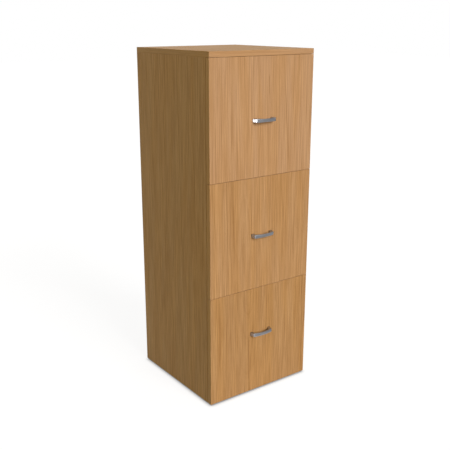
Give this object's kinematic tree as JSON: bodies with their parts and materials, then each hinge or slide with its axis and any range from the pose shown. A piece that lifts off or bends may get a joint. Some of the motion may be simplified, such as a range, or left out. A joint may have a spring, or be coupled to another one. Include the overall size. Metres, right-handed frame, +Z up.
{
  "type": "three-drawer filing cabinet",
  "caption": "Tall floor-standing filing cabinet in light oak laminate, with equal full-overlay drawers on ball bearing slides and small bow handles.",
  "frame": {"origin": "on the floor, in the middle of the outer box, handles included", "axes": "+Z up, drawers open along -Y, +X to the right of someone facing the drawers"},
  "size_m": [0.43, 0.466, 1.205],
  "materials": {
    "oak_laminate": "satin light oak laminate, grain upright",
    "box_board": "satin pale birch board",
    "thin_sheet": "faced fibreboard sheet",
    "dowel_wood": "bare beech",
    "handle_metal": "satin nickel",
    "screw_steel": "zinc plated",
    "slide_steel": "zinc plated sheet",
    "cage_plastic": "natural nylon",
    "rail_plastic": "dark grey extrusion",
    "glide_plastic": "brown nylon"
  },
  "bodies": {
    "carcass": {"back_panel": "thin_sheet", "bottom_panel": "oak_laminate", "floor_glides": "glide_plastic", "left_side_panel": "oak_laminate", "lower_cross_rail": "oak_laminate", "right_side_panel": "oak_laminate", "top_panel": "oak_laminate", "top_panel_dowels": "dowel_wood", "upper_cross_rail": "oak_laminate", "top_left_cabinet_member": "slide_steel", "top_right_cabinet_member": "slide_steel", "middle_left_cabinet_member": "slide_steel", "middle_right_cabinet_member": "slide_steel", "bottom_left_cabinet_member": "slide_steel", "bottom_right_cabinet_member": "slide_steel"},
    "top_slide_intermediates": {"top_left_intermediate_member": "slide_steel", "top_right_intermediate_member": "slide_steel"},
    "top_outer_cage_pair": {"top_outer_cages": "cage_plastic"},
    "top_inner_cage_pair": {"top_inner_cages": "cage_plastic"},
    "top_drawer": {"top_box_back": "box_board", "top_box_bottom": "thin_sheet", "top_box_front": "box_board", "top_box_left_side": "box_board", "top_box_right_side": "box_board", "top_drawer_front": "oak_laminate", "top_file_rails": "rail_plastic", "top_handle": "handle_metal", "top_handle_screws": "screw_steel", "top_left_drawer_member": "slide_steel", "top_right_drawer_member": "slide_steel"},
    "middle_slide_intermediates": {"middle_left_intermediate_member": "slide_steel", "middle_right_intermediate_member": "slide_steel"},
    "middle_outer_cage_pair": {"middle_outer_cages": "cage_plastic"},
    "middle_inner_cage_pair": {"middle_inner_cages": "cage_plastic"},
    "middle_drawer": {"middle_box_back": "box_board", "middle_box_bottom": "thin_sheet", "middle_box_front": "box_board", "middle_box_left_side": "box_board", "middle_box_right_side": "box_board", "middle_drawer_front": "oak_laminate", "middle_file_rails": "rail_plastic", "middle_handle": "handle_metal", "middle_handle_screws": "screw_steel", "middle_left_drawer_member": "slide_steel", "middle_right_drawer_member": "slide_steel"},
    "bottom_slide_intermediates": {"bottom_left_intermediate_member": "slide_steel", "bottom_right_intermediate_member": "slide_steel"},
    "bottom_outer_cage_pair": {"bottom_outer_cages": "cage_plastic"},
    "bottom_inner_cage_pair": {"bottom_inner_cages": "cage_plastic"},
    "bottom_drawer": {"bottom_box_back": "box_board", "bottom_box_bottom": "thin_sheet", "bottom_box_front": "box_board", "bottom_box_left_side": "box_board", "bottom_box_right_side": "box_board", "bottom_drawer_front": "oak_laminate", "bottom_file_rails": "rail_plastic", "bottom_handle": "handle_metal", "bottom_handle_screws": "screw_steel", "bottom_left_drawer_member": "slide_steel", "bottom_right_drawer_member": "slide_steel"}
  },
  "joints": [
    {"name": "top_drawer_slide", "type": "slide", "parent": "carcass", "child": "top_drawer", "axis": [0, -1, 0], "range_m": [0, 0.4]},
    {"name": "top_intermediate_slide", "type": "slide", "parent": "carcass", "child": "top_slide_intermediates", "axis": [0, -1, 0], "range_m": [0, 0.2]},
    {"name": "top_outer_cage_slide", "type": "slide", "parent": "carcass", "child": "top_outer_cage_pair", "axis": [0, -1, 0], "range_m": [0, 0.1]},
    {"name": "top_inner_cage_slide", "type": "slide", "parent": "carcass", "child": "top_inner_cage_pair", "axis": [0, -1, 0], "range_m": [0, 0.3]},
    {"name": "middle_drawer_slide", "type": "slide", "parent": "carcass", "child": "middle_drawer", "axis": [0, -1, 0], "range_m": [0, 0.4]},
    {"name": "middle_intermediate_slide", "type": "slide", "parent": "carcass", "child": "middle_slide_intermediates", "axis": [0, -1, 0], "range_m": [0, 0.2]},
    {"name": "middle_outer_cage_slide", "type": "slide", "parent": "carcass", "child": "middle_outer_cage_pair", "axis": [0, -1, 0], "range_m": [0, 0.1]},
    {"name": "middle_inner_cage_slide", "type": "slide", "parent": "carcass", "child": "middle_inner_cage_pair", "axis": [0, -1, 0], "range_m": [0, 0.3]},
    {"name": "bottom_drawer_slide", "type": "slide", "parent": "carcass", "child": "bottom_drawer", "axis": [0, -1, 0], "range_m": [0, 0.4]},
    {"name": "bottom_intermediate_slide", "type": "slide", "parent": "carcass", "child": "bottom_slide_intermediates", "axis": [0, -1, 0], "range_m": [0, 0.2]},
    {"name": "bottom_outer_cage_slide", "type": "slide", "parent": "carcass", "child": "bottom_outer_cage_pair", "axis": [0, -1, 0], "range_m": [0, 0.1]},
    {"name": "bottom_inner_cage_slide", "type": "slide", "parent": "carcass", "child": "bottom_inner_cage_pair", "axis": [0, -1, 0], "range_m": [0, 0.3]}
  ],
  "couplings": [
    {"joint": "top_intermediate_slide", "follows": "top_drawer_slide", "ratio": 0.5},
    {"joint": "top_outer_cage_slide", "follows": "top_drawer_slide", "ratio": 0.25},
    {"joint": "top_inner_cage_slide", "follows": "top_drawer_slide", "ratio": 0.75},
    {"joint": "middle_intermediate_slide", "follows": "middle_drawer_slide", "ratio": 0.5},
    {"joint": "middle_outer_cage_slide", "follows": "middle_drawer_slide", "ratio": 0.25},
    {"joint": "middle_inner_cage_slide", "follows": "middle_drawer_slide", "ratio": 0.75},
    {"joint": "bottom_intermediate_slide", "follows": "bottom_drawer_slide", "ratio": 0.5},
    {"joint": "bottom_outer_cage_slide", "follows": "bottom_drawer_slide", "ratio": 0.25},
    {"joint": "bottom_inner_cage_slide", "follows": "bottom_drawer_slide", "ratio": 0.75}
  ]
}
